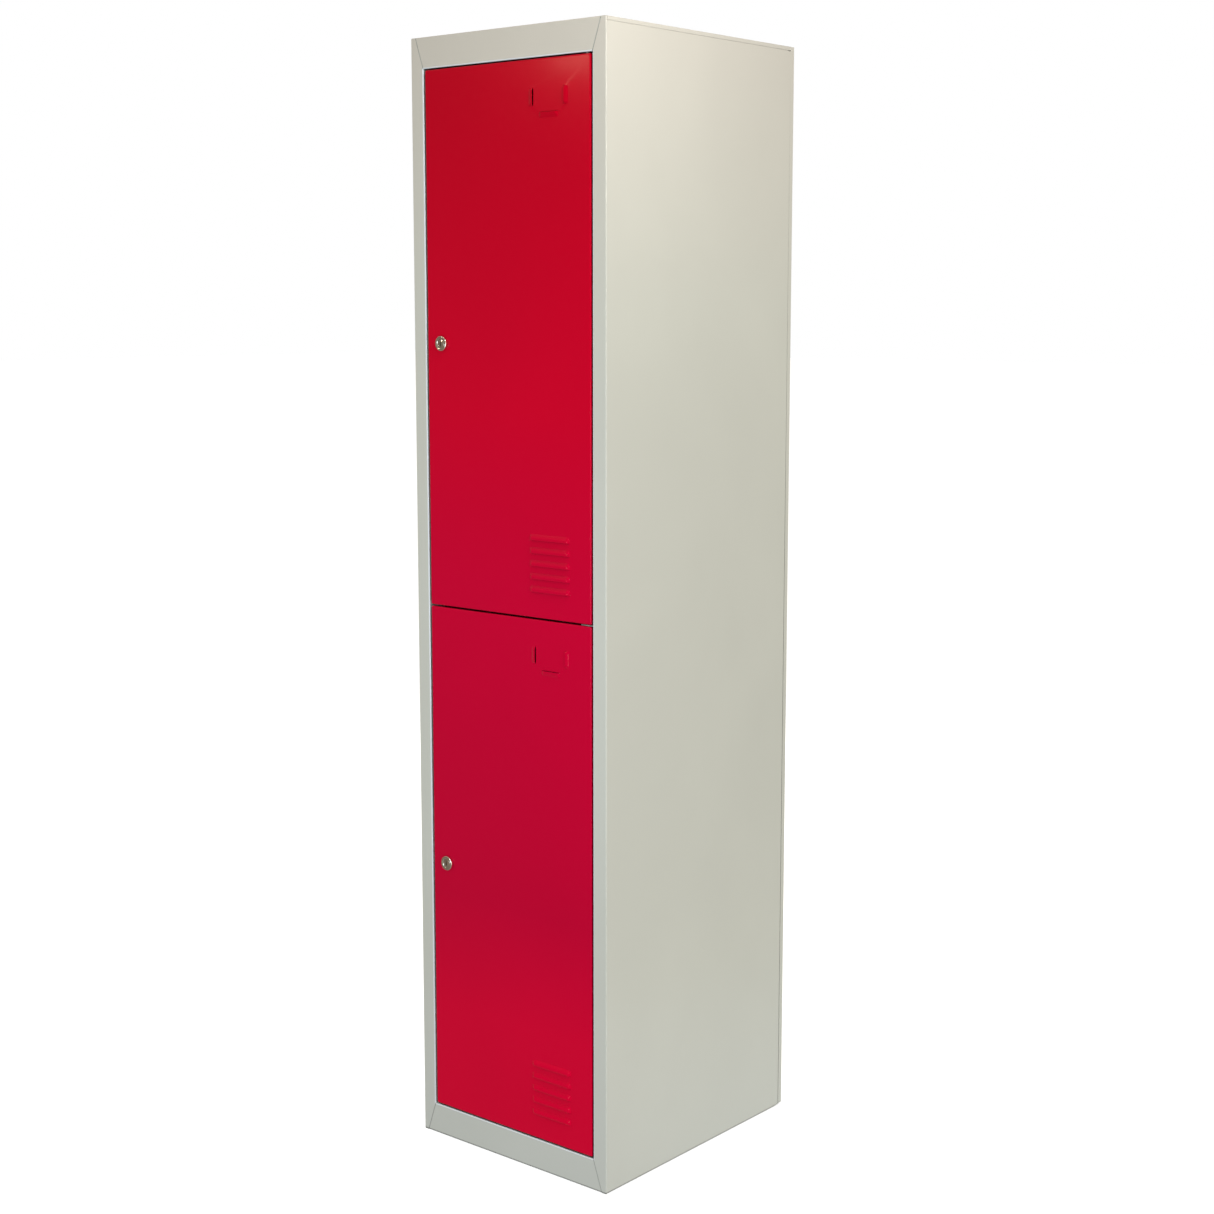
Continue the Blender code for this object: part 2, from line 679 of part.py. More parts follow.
def door_stiffener(tier, bottom, top):
    """A hat channel down the inside of a door."""
    centre = -10 * MM
    seat = FRONT_Y + DOOR_SHEET + GAP
    crown = seat + 10.5 * MM
    right = [(9 * MM, crown), (12 * MM, seat), (22 * MM, seat)]
    corners = [(-x, y) for x, y in reversed(right)] + right
    path = rounded(corners, [BEND_INNER, BEND, BEND, BEND_INNER])
    low_z = bottom + 5 * MM
    high_z = top - 5 * MM
    bm = bmesh.new()
    add_strip(bm, [((centre + p.x, p.y, low_z), (centre + p.x, p.y, high_z)) for p in path])
    origin = (PIVOT_X, PIVOT_Y, (bottom + top) / 2)
    add_sheet(f"{tier}_door_stiffener", bm, (0, -1, 0), "door_paint", origin, SHEET)


def pivot_bush(name, edge, way):
    """A flanged bush in a door's edge; way is the direction into the door, 1 for up."""
    bore = PIN_R + GAP
    seat = DOOR_SHEET + GAP
    flange = 1.2 * MM
    profile = [
        (bore, edge + way * 0.1 * MM),
        (BUSH_R, edge + way * 0.1 * MM),
        (BUSH_R, edge + way * seat),
        (BUSH_FLANGE_R, edge + way * seat),
        (BUSH_FLANGE_R, edge + way * (seat + flange)),
        (BUSH_R, edge + way * (seat + flange)),
        (BUSH_R, edge + way * BUSH_LENGTH),
        (bore, edge + way * BUSH_LENGTH),
    ]
    bm = lathe(profile, (PIVOT_X, PIVOT_Y, 0), "Z", 16)
    add_object(name, bm, "nylon", (PIVOT_X, PIVOT_Y, edge))


# ---------------------------------------------------------------- locks

def lock_barrel(tier, z):
    """The lock's fixed shell: a rounded bezel in front of the door and a round body behind it."""
    front = -LOCK_PROUD
    edge = 1.4 * MM
    crown = rounded([(8.6 * MM, front), (BEZEL_R, front), (BEZEL_R, -GAP)], [edge])
    dish = [(BARREL_BORE, BARREL_END), (BARREL_BORE, front + 1.1 * MM), (7.4 * MM, front + 0.7 * MM)]
    body = [(BARREL_R, -GAP), (BARREL_R, BARREL_END - 0.6 * MM), (BARREL_R - 0.6 * MM, BARREL_END)]
    profile = dish + [tuple(p) for p in crown] + body
    bm = lathe(profile, (LOCK_X, FRONT_Y, z), "Y", 24)
    add_object(f"{tier}_lock_barrel", bm, "chrome", (LOCK_X, FRONT_Y, z))


def lock_washer(tier, z):
    """The toothed washer between the door skin and the lock nut."""
    seat = FRONT_Y + DOOR_SHEET + GAP
    tips = circle((LOCK_X, z), 13 * MM, 16)
    roots = circle((LOCK_X, z), 11.8 * MM, 16)
    outer = [tips[index] if index % 2 == 0 else roots[index] for index in range(16)]
    bm = prism(outer, circle((LOCK_X, z), BARREL_R + GAP, 16), seat, seat + 0.7 * MM)
    add_object(f"{tier}_lock_washer", bm, "zinc", (LOCK_X, FRONT_Y, z))


def lock_nut(tier, z):
    """The hexagon nut that clamps the barrel to the door skin."""
    seat = FRONT_Y + DOOR_SHEET + 2 * GAP + 0.7 * MM
    flat_to_flat = 23 * MM
    corner_r = flat_to_flat / math.sqrt(3)
    outer = []
    for index in range(24):
        angle = math.tau * index / 24
        folded = (angle + math.pi / 6) % (math.pi / 3) - math.pi / 6
        radius = corner_r * math.cos(math.pi / 6) / math.cos(math.pi / 6 - abs(folded))
        outer.append((LOCK_X + radius * math.cos(angle), z + radius * math.sin(angle)))
    bm = prism(outer, circle((LOCK_X, z), BARREL_R + GAP, 24), seat, seat + 5 * MM)
    add_object(f"{tier}_lock_nut", bm, "zinc", (LOCK_X, FRONT_Y, z))


def lock_plug(tier, z):
    """The turning plug: keyway in its face, square tail for the cam."""
    face = -LOCK_PROUD + 1.2 * MM
    shoulder = BARREL_END + GAP
    tail_end = CAM_FRONT + CAM_THICK
    turned = circle((LOCK_X, z), PLUG_R, 24)
    bm = bmesh.new()
    front = [bm.verts.new((x, FRONT_Y + face, zz)) for x, zz in turned]
    back = [bm.verts.new((x, FRONT_Y + shoulder, zz)) for x, zz in turned]
    half = SQUARE / 2
    square = [(half, half), (-half, half), (-half, -half), (half, -half)]
    square_in = [bm.verts.new((LOCK_X + x, FRONT_Y + shoulder, z + zz)) for x, zz in square]
    square_out = [bm.verts.new((LOCK_X + x, FRONT_Y + tail_end, z + zz)) for x, zz in square]
    bm.faces.new(front)
    bm.faces.new(square_out)
    for row, following in ((front, back), (square_in, square_out)):
        for index in range(len(row)):
            after = (index + 1) % len(row)
            bm.faces.new((row[index], row[after], following[after], following[index]))
    for quarter in range(4):
        after = (quarter + 1) % 4
        rim = [back[(3 + 6 * quarter + step) % 24] for step in range(7)]
        bm.faces.new(rim + [square_in[after], square_in[quarter]])
    bmesh.ops.recalc_face_normals(bm, faces=bm.faces)
    plug = add_object(f"{tier}_lock_plug", bm, "chrome", (LOCK_X, FRONT_Y, z))
    keyway = bmesh.new()
    bmesh.ops.create_cube(keyway, size=1)
    slot = Vector((1.5 * MM, 8 * MM, 8.6 * MM))
    for vert in keyway.verts:
        vert.co = Vector((LOCK_X, FRONT_Y + face, z)) + vert.co * slot
    cut(plug, keyway, f"{tier}_keyway")


def lock_cam(tier, z):
    """The cam: a flat arm, pointing down when the lock is open."""
    heel = circle((0, 0), CAM_HALF, 16)[:9]
    low = -CAM_LENGTH
    clip = 5.5 * MM
    toe = [(-clip + clip * step / 2, low) for step in range(5)]
    arm = [(-CAM_HALF, low + clip)] + toe + [(CAM_HALF, low + clip)]
    outer = [(LOCK_X + x, z + drop) for x, drop in heel + arm]
    half = SQUARE / 2 + GAP
    hole = []
    for x, rise in circle((0, 0), 1, 16):
        reach = half / max(abs(x), abs(rise))
        hole.append((LOCK_X + reach * x, z + reach * rise))
    bm = prism(outer, hole, FRONT_Y + CAM_FRONT, FRONT_Y + CAM_FRONT + CAM_THICK)
    add_object(f"{tier}_lock_cam", bm, "zinc", (LOCK_X, FRONT_Y, z))


def cam_screw(tier, z):
    """The hexagon-headed screw that keeps the cam on the plug."""
    seat = FRONT_Y + CAM_FRONT + CAM_THICK + GAP
    washer_r = 6.5 * MM
    profile = [
        (0, seat),
        (washer_r, seat),
        (washer_r, seat + 0.8 * MM),
        (5 * MM, seat + 1.2 * MM),
        (5 * MM, seat + 3.4 * MM),
        (4.4 * MM, seat + 3.9 * MM),
        (0, seat + 3.9 * MM),
    ]
    bm = lathe(profile, (LOCK_X, 0, z), "Y", 18)
    add_object(f"{tier}_cam_screw", bm, "zinc", (LOCK_X, seat, z))


# ---------------------------------------------------------------- assembly

def main():
    clear_scene()
    side_panel("left_side_panel", -1, True)
    side_panel("right_side_panel", 1, False)
    top_panel()
    bottom_panel()
    back_panel()
    divider_shelf()
    pivot_bracket()
    pivot_pins()
    coat_hook("upper_coat_hook", HEIGHT - SHEET)
    coat_hook("lower_coat_hook", MID_Z - SHEET / 2)
    for tier, (bottom, top) in DOOR_SPANS.items():
        lock_z = (bottom + top) / 2 - LOCK_DROP
        door_panel(tier, bottom, top, lock_z)
        door_stiffener(tier, bottom, top)
        pivot_bush(f"{tier}_door_top_bush", top, -1)
        pivot_bush(f"{tier}_door_bottom_bush", bottom, 1)
        door_buffer(f"{tier}_door_top_buffer", top - 60 * MM)
        door_buffer(f"{tier}_door_bottom_buffer", bottom + 60 * MM)
        lock_barrel(tier, lock_z)
        lock_washer(tier, lock_z)
        lock_nut(tier, lock_z)
        lock_plug(tier, lock_z)
        lock_cam(tier, lock_z)
        cam_screw(tier, lock_z)


main()
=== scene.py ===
"""Looks of the two-tier school locker.

Finer doors, locks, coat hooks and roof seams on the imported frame, with their paint and metals, the studio
and the camera.
"""

import json
import math

import bmesh
import bpy
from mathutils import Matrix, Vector
from mathutils.geometry import delaunay_2d_cdt


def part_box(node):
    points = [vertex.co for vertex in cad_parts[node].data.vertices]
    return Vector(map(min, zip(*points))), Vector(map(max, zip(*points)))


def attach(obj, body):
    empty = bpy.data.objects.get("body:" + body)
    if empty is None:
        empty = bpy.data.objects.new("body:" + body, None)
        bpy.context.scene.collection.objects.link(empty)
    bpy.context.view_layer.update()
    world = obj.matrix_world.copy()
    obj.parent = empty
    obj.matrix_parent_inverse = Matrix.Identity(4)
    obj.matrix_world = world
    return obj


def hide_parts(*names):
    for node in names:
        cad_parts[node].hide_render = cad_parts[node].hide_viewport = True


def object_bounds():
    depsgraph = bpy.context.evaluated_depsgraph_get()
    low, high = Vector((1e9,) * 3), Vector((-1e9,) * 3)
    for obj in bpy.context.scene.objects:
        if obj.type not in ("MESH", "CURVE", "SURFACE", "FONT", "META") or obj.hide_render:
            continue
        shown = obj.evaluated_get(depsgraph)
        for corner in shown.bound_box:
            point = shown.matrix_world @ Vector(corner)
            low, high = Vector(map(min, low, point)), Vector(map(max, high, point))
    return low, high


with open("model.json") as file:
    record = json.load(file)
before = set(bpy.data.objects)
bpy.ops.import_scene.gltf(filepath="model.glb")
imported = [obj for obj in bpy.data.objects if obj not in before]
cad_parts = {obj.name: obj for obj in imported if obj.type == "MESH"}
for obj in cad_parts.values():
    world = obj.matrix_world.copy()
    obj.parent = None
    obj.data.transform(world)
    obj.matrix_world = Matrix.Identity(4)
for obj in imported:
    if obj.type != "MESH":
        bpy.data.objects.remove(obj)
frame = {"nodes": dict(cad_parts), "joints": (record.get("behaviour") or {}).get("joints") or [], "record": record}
cad_low, cad_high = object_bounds()

MM = 0.001
JOINTS = {joint["name"]: Vector(joint["pos_m"]) for joint in frame["joints"]}
TIERS = ("upper", "lower")
FRONT_Y = JOINTS["upper_lock_turn"].y      # the plane of the doors' faces

# The frame's opening for the doors, and the painted highlight and mitre seams on it
OPENING_HALF = 165 * MM
OPENING_LOW = 48 * MM
OPENING_HIGH = cad_high.z - 46 * MM
OPENING_MIDDLE = (OPENING_LOW + OPENING_HIGH) / 2
OPENING_HALF_HEIGHT = (OPENING_HIGH - OPENING_LOW) / 2
# width of the painted highlight on the folds round the opening, and depth of the front strip that holds it and the
# seams
FOLD_WIDTH = 2.2 * MM
MITRE_SPREAD = 16 * MM                     # sideways run of a mitre seam over the height of its rail
RAIL = 47 * MM                             # mean height of the top and bottom rails
MITRE_SHADE = 0.66                         # tone of the paint in a mitre seam
CONTACT_SHADOW_TONE = 0.45                         # painted shadow: tone of the paint where the cabinet meets the floor
ROOF_SEAM = cad_high.z - 5.35 * MM         # seam between the roof's fold and a side wall
SEAM_HALF = 0.5 * MM
FOLDED_EDGE = 0.28 * MM                    # rounding of the painted sheets' cut edges
FINE_EDGE = 0.15 * MM
CREVICE_REACH = 7 * MM                     # how far the painted crevice shade looks for a neighbouring panel
LACQUER_ROUGHNESS = 0.10

CARD_DIRECTION = (-0.70, -0.70, -0.10)     # from the doors towards the dark end of the room, in their gloss

# Door pan
DOOR_SHEET = 0.9 * MM
DOOR_BEND = 2.4 * MM
DOOR_CORNER = 2.6 * MM
DOOR_LIP = 12 * MM
LOUVRES = 5
LOUVRE_PITCH = 19 * MM
LOUVRE_HEIGHT = 9 * MM
LOUVRE_RISE = 3.6 * MM
LOUVRE_ROLL = 0.68                         # of a half wave: past its crest, so that the lip turns back
LOUVRE_END = 6 * MM
LOUVRE_GRID = (12, 9)                      # steps across a hood, and along each of its ends
TAB_END = 5 * MM
TAB_ROLL = 0.5
TAB_GRID = (6, 6)
TAB_RISE = 2.1 * MM
TAB_SLOT = 0.9 * MM
BUSH_HOLE_R = 4.3 * MM

# Lock
BEZEL_R = 11.2 * MM
LOCK_PROUD = 4.5 * MM
BARREL_R = 9.3 * MM
BARREL_BORE = 6.9 * MM
BARREL_END = 22.6 * MM
THREAD_PITCH = 1.2 * MM
THREAD_DEPTH = 0.6 * MM
PLUG_R = 6.6 * MM
PLUG_FACE = LOCK_PROUD - 1.2 * MM
DOME = 1.0 * MM
DOME_SHARE = 0.86                          # of the plug's radius
DOME_STEPS = 8
SQUARE = 8 * MM
CAM_FRONT = 23.4 * MM
CAM_THICK = 2 * MM
GAP = 0.3 * MM

# Studio
CAMERA_PLACE = (1.9975, -2.3704, 1.3049)
CAMERA_PITCH = 7.880                       # degrees down
CAMERA_HEADING = 40.061                    # degrees to the right of the front
CARD_EDGE = 58                             # degrees off its direction where the room's dark end begins
CARD_CORE = 24                             # and where it is darkest
FLOOR_GLOW = 0.60


# ---------------------------------------------------------------- mesh helpers

def rounded(corners, radii, steps):
    """A 2-D polyline through the corners, each inner corner rounded to its radius (0 keeps the point)."""
    points = [Vector(corners[0])]
    for before, corner, after, radius in zip(corners, corners[1:], corners[2:], radii):
        corner = Vector(corner)
        if radius == 0:
            points.append(corner)
            continue
        to_before = (Vector(before) - corner).normalized()
        to_after = (Vector(after) - corner).normalized()
        half = to_before.angle(to_after) / 2
        reach = radius / math.tan(half)
        centre = corner + (to_before + to_after).normalized() * (radius / math.sin(half))
        first = corner + to_before * reach - centre
        last = corner + to_after * reach - centre
        turn = first.angle_signed(last)
        for step in range(steps + 1):
            angle = -turn * step / steps
            cosine = math.cos(angle)
            sine = math.sin(angle)
            arm = Vector((first.x * cosine - first.y * sine, first.x * sine + first.y * cosine))
            points.append(centre + arm)
    points.append(Vector(corners[-1]))
    return points


def circle(centre, radius, count):
    """Points of a circle in the XZ plane."""
    angles = [math.tau * index / count for index in range(count)]
    return [(centre[0] + radius * math.cos(a), centre[1] + radius * math.sin(a)) for a in angles]


def add_strip(bm, rows, closed=False):
    """Quads between neighbouring rows of points; closed also joins the last row to the first."""
    made = [[bm.verts.new(point) for point in row] for row in rows]
    following_rows = made[1:] + (made[:1] if closed else [])
    for row, following in zip(made, following_rows):
        for index in range(len(row) - 1):
            bm.faces.new((row[index], row[index + 1], following[index + 1], following[index]))
    return made


def add_object(name, bm):
    """Turn a bmesh in frame coordinates into an object."""
    mesh = bpy.data.meshes.new(name)
    bm.to_mesh(mesh)
    bm.free()
    mesh.shade_smooth()
    obj = bpy.data.objects.new(name, mesh)
    bpy.context.scene.collection.objects.link(obj)
    return obj


def thicken(obj, thickness):
    """Give a sheet its metal, behind the visible side."""
    solid = obj.modifiers.new("thickness", "SOLIDIFY")
    solid.thickness = thickness
    solid.offset = -1
    solid.use_even_offset = True


def soften(obj, width, segments=2, angle=35):
    """Round the sharp edges a little, and keep flat faces flat in the shading."""
    bevel = obj.modifiers.new("edges", "BEVEL")
    bevel.width = width
    bevel.segments = segments
    bevel.limit_method = "ANGLE"
    bevel.angle_limit = math.radians(angle)
    bevel.harden_normals = True
    weighted = obj.modifiers.new("normals", "WEIGHTED_NORMAL")
    weighted.mode = "FACE_AREA"
    weighted.keep_sharp = True


def drill(obj, centre, radius, length):
    """Cut a round vertical hole and keep the result as the object's mesh."""
    bm = bmesh.new()
    bmesh.ops.create_cone(bm, cap_ends=True, segments=48, radius1=radius, radius2=radius, depth=length)
    bmesh.ops.translate(bm, verts=bm.verts, vec=centre)
    cut(obj, bm)


def cut(obj, cutter_bm):
    """Cut a closed shape out of an object, apply the modifiers so far and drop the cutter."""
    cutter = add_object("cutter", cutter_bm)
    boolean = obj.modifiers.new("cut", "BOOLEAN")
    boolean.operation = "DIFFERENCE"
    boolean.object = cutter
    bpy.context.view_layer.update()
    shape = obj.evaluated_get(bpy.context.evaluated_depsgraph_get())
    mesh = bpy.data.meshes.new_from_object(shape)
    obj.modifiers.clear()
    obj.data = mesh
    mesh.name = obj.name
    bpy.data.objects.remove(cutter, do_unlink=True)


def orient(bm, toward):
    """Weld the sheet and make its visible side face outwards."""
    bmesh.ops.remove_doubles(bm, verts=bm.verts, dist=0.01 * MM)
    bmesh.ops.recalc_face_normals(bm, faces=bm.faces)
    direction = Vector(toward)
    guide = max(bm.faces, key=lambda face: abs(face.normal.dot(direction)) * face.calc_area())
    if guide.normal.dot(direction) < 0:
        bmesh.ops.reverse_faces(bm, faces=bm.faces)


def turned(sections, centre, steps):
    """A closed ring about a Y axis; sections(angle) gives its section there as (radius, depth) points."""
    bm = bmesh.new()
    rows = []
    for step in range(steps):
        angle = math.tau * step / steps
        row = []
        for radius, depth in sections(angle):
            row.append(centre + Vector((radius * math.cos(angle), depth, radius * math.sin(angle))))
        rows.append(row + row[:1])
    add_strip(bm, rows, closed=True)
    bmesh.ops.remove_doubles(bm, verts=bm.verts, dist=0.001 * MM)
    bmesh.ops.recalc_face_normals(bm, faces=bm.faces)
    return bm


def stand_in(piece, node, body):
    """The piece takes the place of a CAD node, on that node's body."""
    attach(piece, body)
    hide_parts(node)


# ---------------------------------------------------------------- material helpers

def add_node(tree, kind, inputs, **settings):
    """Add a shader node; an input may be a value or another node's socket."""
    made = tree.nodes.new(kind)
    for key, value in settings.items():
        setattr(made, key, value)
    for key, value in inputs.items():
        if isinstance(value, bpy.types.NodeSocket):
            tree.links.new(value, made.inputs[key])
        else:
            made.inputs[key].default_value = value
    return made


def blank_material(name, metallic, viewport):
    """A material with its Principled shader and object coordinates in metres."""
    mat = bpy.data.materials.new(name)
    mat.use_nodes = True
    mat.diffuse_color = (*viewport, 1)
    tree = mat.node_tree
    shader = tree.nodes["Principled BSDF"]
    shader.inputs["Metallic"].default_value = metallic
    place = add_node(tree, "ShaderNodeTexCoord", {}).outputs["Object"]
    return mat, tree, shader, place


def calculate(tree, operation, first, second=0.0):
    """The result of one sum on two values or sockets."""
    return add_node(tree, "ShaderNodeMath", {0: first, 1: second}, operation=operation).outputs["Value"]


def mix(tree, factor, first, second, **settings):
    """One colour mixed into another by a factor; each may be a socket."""
    inputs = {"Fac": factor, "Color1": first, "Color2": second}
    return add_node(tree, "ShaderNodeMixRGB", inputs, **settings).outputs["Color"]


def noise(tree, place, per_metre, detail=2.0, distortion=0.0):
    """Noise with that many cells in a metre."""
    values = {"Vector": place, "Scale": per_metre, "Detail": detail, "Distortion": distortion}
    return add_node(tree, "ShaderNodeTexNoise", values).outputs["Fac"]


def ramp(tree, factor, stops):
    """A colour ramp through (position, linear RGB) stops."""
    made = add_node(tree, "ShaderNodeValToRGB", {"Fac": factor})
    elements = made.color_ramp.elements
    while len(elements) < len(stops):
        elements.new(0.5)
    for element, (position, colour) in zip(elements, stops):
        element.position = position
        element.color = (*colour, 1)
    return made.outputs["Color"]


def spread(tree, value, low, high, from_low=0.3, from_high=0.7):
    """Map a value onto a range; the default suits noise."""
    inputs = {"Value": value, "From Min": from_low, "From Max": from_high, "To Min": low, "To Max": high}
    return add_node(tree, "ShaderNodeMapRange", inputs).outputs["Result"]


def bump(tree, height, distance, under=None):
    """Bump of a height in metres, over another bump if there is one."""
    inputs = {"Height": height, "Distance": distance, "Strength": 1.0}
    if under is not None:
        inputs["Normal"] = under
    return add_node(tree, "ShaderNodeBump", inputs).outputs["Normal"]


def shade(colour, factor):
    """A colour made lighter or darker."""
    return tuple(channel * factor for channel in colour)


# ---------------------------------------------------------------- finishes

def paint(name, height_shading, roughness, peel, wave, gloss, fold):
    """Powder coat on sheet steel: its tone up the cabinet, faint clouds, orange peel and a wavy sheet.

    The tone stops are (height, linear RGB) stops from the floor to the roof. They are painted light and shade: the
    colour that the light falling at each height gives. gloss is the colour and level of the reflections and the
    share of clear lacquer over them. Painted shade darkens the crevices between panels, and a painted shadow
    darkens the foot where the cabinet meets the floor. The fold colour is a painted highlight on the frame's
    folded edges, the light they catch.
    """
    mat, tree, shader, place = blank_material(name, 0.0, height_shading[0][1])
    # painted light and shade: the colour follows the light that falls at each height
    height = add_node(tree, "ShaderNodeSeparateXYZ", {"Vector": place}).outputs["Z"]
    share = spread(tree, height, 0.0, 1.0, 0.0, cad_high.z)
    tone = ramp(tree, share, [(z / cad_high.z, colour) for z, colour in height_shading])
    if fold is not None:
        # painted highlight on the folds round the opening, then the darker mitre seams
        folds, seams = frame_marks(tree, place)
        tone = mix(tree, folds, tone, (*fold, 1))
        tone = mix(tree, seams, tone, (*shade(height_shading[0][1], MITRE_SHADE), 1))
    cloud = spread(tree, noise(tree, place, 4.0, 3.0, 0.4), 0.975, 1.015)
    # painted shade: ambient occlusion darkens the colour in crevices, where a neighbouring panel is within reach;
    # the clouds are the paint's own random tone
    occlusion = add_node(tree, "ShaderNodeAmbientOcclusion", {"Distance": CREVICE_REACH}, samples=4)
    crevice_shade = spread(tree, occlusion.outputs["AO"], 0.10, 1.0, 0.22, 0.50)
    # painted shadow: the bottom few millimetres are darker where the cabinet meets the floor
    contact_shadow = spread(tree, height, CONTACT_SHADOW_TONE, 1.0, 1.2 * MM, 3.2 * MM)
    clouds_and_shade = calculate(tree, "MULTIPLY", cloud, calculate(tree, "MULTIPLY", crevice_shade, contact_shadow))
    grey = add_node(tree, "ShaderNodeCombineColor", {"Red": clouds_and_shade, "Green": clouds_and_shade, "Blue": clouds_and_shade})
    colour = mix(tree, 1.0, tone, grey.outputs["Color"], blend_type="MULTIPLY")
    tree.links.new(colour, shader.inputs["Base Color"])
    grain = noise(tree, place, 90.0, 4.0)
    tree.links.new(spread(tree, grain, roughness - 0.02, roughness + 0.03), shader.inputs["Roughness"])
    tint, level, lacquer = gloss
    shader.inputs["Specular Tint"].default_value = (*tint, 1)
    shader.inputs["Specular IOR Level"].default_value = level
    shader.inputs["Coat Weight"].default_value = lacquer
    shader.inputs["Coat Roughness"].default_value = LACQUER_ROUGHNESS
    skin = bump(tree, noise(tree, place, 1100.0, 2.0), peel)
    sheet = bump(tree, noise(tree, place, 5.0, 1.0), wave, skin)
    tree.links.new(sheet, shader.inputs["Normal"])
    return mat


def frame_marks(tree, place):
    """Two masks on the front of the frame: the folds round its opening, and its mitre seams.

    The mask on the folds is a painted highlight, the light those bends catch, and paint gathers in the seams. Each
    mask fades out over a short width.
    """
    axes = add_node(tree, "ShaderNodeSeparateXYZ", {"Vector": place}).outputs
    side = calculate(tree, "ABSOLUTE", axes["X"])
    lift = calculate(tree, "ABSOLUTE", calculate(tree, "SUBTRACT", axes["Z"], OPENING_MIDDLE))
    depth = calculate(tree, "SUBTRACT", axes["Y"], FRONT_Y)
    shallow = spread(tree, depth, 1.0, 0.0, FOLD_WIDTH * 0.6, FOLD_WIDTH)

    # painted highlight: a band on the folds just outside the opening, near the front plane
    from_stile = calculate(tree, "SUBTRACT", side, OPENING_HALF)
    from_rail = calculate(tree, "SUBTRACT", lift, OPENING_HALF_HEIGHT)
    outside = calculate(tree, "MAXIMUM", from_stile, from_rail)
    band = spread(tree, outside, 1.0, 0.0, FOLD_WIDTH * 0.6, FOLD_WIDTH)
    folds = calculate(tree, "MULTIPLY", band, shallow)

    outer = OPENING_HALF + MITRE_SPREAD
    seam = spread(tree, lift, OPENING_HALF, outer, OPENING_HALF_HEIGHT, OPENING_HALF_HEIGHT + RAIL)
    off = calculate(tree, "ABSOLUTE", calculate(tree, "SUBTRACT", side, seam))
    near = spread(tree, off, 1.0, 0.0, 0.4 * MM, 1.1 * MM)
    beyond = spread(tree, lift, 0.0, 1.0, OPENING_HALF_HEIGHT, OPENING_HALF_HEIGHT + 1 * MM)
    seams = calculate(tree, "MULTIPLY", calculate(tree, "MULTIPLY", near, beyond), shallow)
    return folds, seams


def chrome(name):
    """Bright chrome with faint handling haze."""
    colour = (0.88, 0.84, 0.74)
    mat, tree, shader, place = blank_material(name, 1.0, colour)
    haze = noise(tree, place, 160.0, 4.0, 0.6)
    stops = [(0.35, shade(colour, 0.90)), (0.65, colour)]
    tree.links.new(ramp(tree, haze, stops), shader.inputs["Base Color"])
    tree.links.new(spread(tree, haze, 0.20, 0.09), shader.inputs["Roughness"])
    tree.links.new(bump(tree, noise(tree, place, 900.0, 2.0), 0.000004), shader.inputs["Normal"])
    return mat


def zinc(name):
    """Bright zinc plate, with its bluish and straw-coloured clouds and fine rolling marks."""
    mat, tree, shader, place = blank_material(name, 1.0, (0.80, 0.80, 0.79))
    cloud = noise(tree, place, 70.0, 3.0, 0.8)
    stops = [(0.30, (0.72, 0.74, 0.79)), (0.55, (0.82, 0.82, 0.81)), (0.75, (0.85, 0.82, 0.74))]
    tree.links.new(ramp(tree, cloud, stops), shader.inputs["Base Color"])
    tree.links.new(spread(tree, cloud, 0.36, 0.52), shader.inputs["Roughness"])
    drawn = add_node(tree, "ShaderNodeMapping", {"Vector": place, "Scale": (1.0, 1.0, 12.0)})
    marks = noise(tree, drawn.outputs["Vector"], 260.0, 3.0)
    tree.links.new(bump(tree, marks, 0.00001), shader.inputs["Normal"])
    return mat


def moulded(name, colour, roughness, pores):
    """Nylon or rubber: a soft moulded skin with fine pores."""
    mat, tree, shader, place = blank_material(name, 0.0, colour)
    cloud = noise(tree, place, 120.0, 3.0)
    stops = [(0.35, shade(colour, 0.90)), (0.70, shade(colour, 1.06))]
    tree.links.new(ramp(tree, cloud, stops), shader.inputs["Base Color"])
    tree.links.new(spread(tree, cloud, roughness - 0.05, roughness + 0.07), shader.inputs["Roughness"])
    tree.links.new(bump(tree, noise(tree, place, 1400.0, 2.0), pores), shader.inputs["Normal"])
    return mat


def make_finishes():
    """One material for each of the record's slots."""
    # Tone stops by height are painted light and shade: the grey turns warmer towards the roof, and the crimson
    # rises and falls with the light on the doors
    grey = [
        (0.0, (0.600, 0.606, 0.555)), (0.30, (0.592, 0.588, 0.520)), (1.30, (0.605, 0.594, 0.520)),
        (1.60, (0.615, 0.582, 0.510)), (1.68, (0.612, 0.572, 0.502)),
    ]
    crimson = [
        (0.04, (0.70, 0.0, 0.031)), (0.22, (0.68, 0.0, 0.031)), (0.40, (0.55, 0.0, 0.030)),
        (0.90, (0.59, 0.0, 0.030)), (1.15, (0.62, 0.0, 0.021)), (1.65, (0.52, 0.0, 0.013)),
    ]
    plain = ((1.0, 1.0, 1.0), 0.5, 0.0)
    rosy = ((1.0, 0.04, 0.08), 0.25, 0.09)
    return {
        # the last colour is the painted highlight on the frame's folds
        "body_paint": paint("body_paint", grey, 0.40, 0.000006, 0.0001, plain, (0.76, 0.80, 0.82)),
        "door_paint": paint("door_paint", crimson, 0.20, 0.000002, 0.0001, rosy, None),
        "chrome": chrome("chrome"),
        "zinc": zinc("zinc"),
        "nylon": moulded("nylon", (0.75, 0.74, 0.70), 0.45, 0.000006),
        "rubber": moulded("rubber", (0.03, 0.03, 0.03), 0.75, 0.00002),
    }


def finish_piece(piece, slot):
    """Give a new piece its slot's material."""
    piece.data.materials.clear()
    piece.data.materials.append(FINISHES[slot])


def finish_cad_nodes():
    """Finish the CAD nodes that stay: material, welded facets and softened edges."""
    for subpart in frame["record"]["subparts"]:
        node = frame["nodes"][subpart["node"]]
        node.data.materials.clear()
        node.data.materials.append(FINISHES[subpart["material_slot"]])
        normals = node.data.attributes.get("custom_normal")
        if normals is not None:
            node.data.attributes.remove(normals)
        node.data.shade_smooth()
        weld = node.modifiers.new("weld", "WELD")
        weld.merge_threshold = 0.01 * MM
        soften(node, FOLDED_EDGE if subpart["material_slot"] == "body_paint" else FINE_EDGE)


